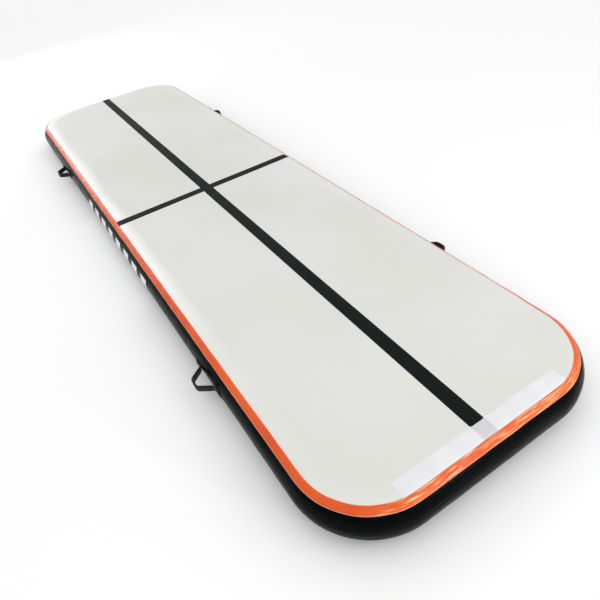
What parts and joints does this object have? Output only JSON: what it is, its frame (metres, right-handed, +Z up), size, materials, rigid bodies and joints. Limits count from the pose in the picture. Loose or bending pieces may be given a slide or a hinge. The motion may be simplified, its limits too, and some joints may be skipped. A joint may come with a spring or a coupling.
{
  "type": "air track mat",
  "caption": "Long low inflatable tumbling mat: white top with crossing black guide stripes, orange seam tape, glossy black side walls, webbing side handles and an end valve.",
  "frame": {"origin": "on the floor under the middle of the inflated mat", "axes": "+X along the mat towards the end with the white joining strip, +Y across it away from the wall with the slanted marks, +Z up"},
  "size_m": [3.66, 1.107, 0.1516],
  "materials": {
    "white_coated_fabric": "satin vinyl coating over woven fabric",
    "black_coated_fabric": "ribbed non-slip vinyl coating",
    "black_vinyl": "glossy",
    "inner_vinyl": "satin",
    "orange_tape": "glossy",
    "black_print": "satin",
    "white_print": "satin",
    "white_strip": "semi-translucent satin",
    "drop_thread": "matte",
    "webbing": "woven matte",
    "valve_plastic": "satin",
    "valve_rubber": "matte",
    "spring_steel": "drawn wire"
  },
  "bodies": {
    "mat": {"top_sheet": "white_coated_fabric", "bottom_sheet": "black_coated_fabric", "outer_side_wall": "black_vinyl", "inner_side_wall": "inner_vinyl", "top_seam_tape": "orange_tape", "bottom_seam_tape": "black_vinyl", "centre_stripe": "black_print", "cross_stripe_left": "black_print", "cross_stripe_right": "black_print", "end_strip": "white_strip", "side_mark_1": "white_print", "side_mark_2": "white_print", "side_mark_3": "white_print", "side_mark_4": "white_print", "side_mark_5": "white_print", "side_mark_6": "white_print", "side_mark_7": "white_print", "side_mark_8": "white_print", "drop_thread_row_1": "drop_thread", "drop_thread_row_2": "drop_thread", "drop_thread_row_3": "drop_thread", "drop_thread_row_4": "drop_thread", "drop_thread_row_5": "drop_thread", "drop_thread_row_6": "drop_thread", "drop_thread_row_7": "drop_thread", "drop_thread_row_8": "drop_thread", "drop_thread_row_9": "drop_thread", "handle_front_left_patch": "black_vinyl", "handle_front_left_strap_end_front": "webbing", "handle_front_left_strap_end_rear": "webbing", "handle_front_right_patch": "black_vinyl", "handle_front_right_strap_end_front": "webbing", "handle_front_right_strap_end_rear": "webbing", "handle_rear_left_patch": "black_vinyl", "handle_rear_left_strap_end_front": "webbing", "handle_rear_left_strap_end_rear": "webbing", "handle_rear_right_patch": "black_vinyl", "handle_rear_right_strap_end_front": "webbing", "handle_rear_right_strap_end_rear": "webbing", "valve_body": "valve_plastic", "valve_nut": "valve_plastic", "valve_gasket": "valve_rubber", "valve_spring": "spring_steel"},
    "handle_front_left": {"handle_front_left_loop": "webbing"},
    "handle_front_right": {"handle_front_right_loop": "webbing"},
    "handle_rear_left": {"handle_rear_left_loop": "webbing"},
    "handle_rear_right": {"handle_rear_right_loop": "webbing"},
    "valve_plunger": {"valve_stem": "valve_plastic", "valve_seal": "valve_rubber"},
    "cap_tether": {"cap_leash": "valve_rubber"},
    "screw_cap": {"valve_cap": "valve_plastic", "cap_liner": "valve_rubber"}
  },
  "joints": [
    {"name": "handle_front_left_flex", "type": "hinge", "parent": "mat", "child": "handle_front_left", "pos_m": [1.06, -0.505, 0.075], "axis": [-1, 0, 0], "range_deg": [-35, 50], "stiffness_Nm_per_rad": 0.15},
    {"name": "handle_front_right_flex", "type": "hinge", "parent": "mat", "child": "handle_front_right", "pos_m": [1.037, 0.505, 0.075], "axis": [1, 0, 0], "range_deg": [-35, 50], "stiffness_Nm_per_rad": 0.15},
    {"name": "handle_rear_left_flex", "type": "hinge", "parent": "mat", "child": "handle_rear_left", "pos_m": [-0.975, -0.505, 0.075], "axis": [-1, 0, 0], "range_deg": [-35, 50], "stiffness_Nm_per_rad": 0.15},
    {"name": "handle_rear_right_flex", "type": "hinge", "parent": "mat", "child": "handle_rear_right", "pos_m": [-1.04, 0.505, 0.075], "axis": [1, 0, 0], "range_deg": [-35, 50], "stiffness_Nm_per_rad": 0.15},
    {"name": "valve_push", "type": "slide", "parent": "mat", "child": "valve_plunger", "axis": [1, 0, 0], "range_m": [0, 0.006], "stiffness_N_per_m": 1500, "springref_m": -0.002, "deforming": ["valve_spring"]},
    {"name": "cap_turn", "type": "hinge", "parent": "mat", "child": "cap_tether", "pos_m": [-1.815, 0.25, 0.075], "axis": [-1, 0, 0], "range_deg": [0, 451]},
    {"name": "cap_lift", "type": "slide", "parent": "cap_tether", "child": "screw_cap", "axis": [-1, 0, 0], "range_m": [0, 0.0075]}
  ],
  "couplings": [
    {"joint": "cap_turn", "follows": "cap_lift", "rad_per_m": 1047.2}
  ]
}
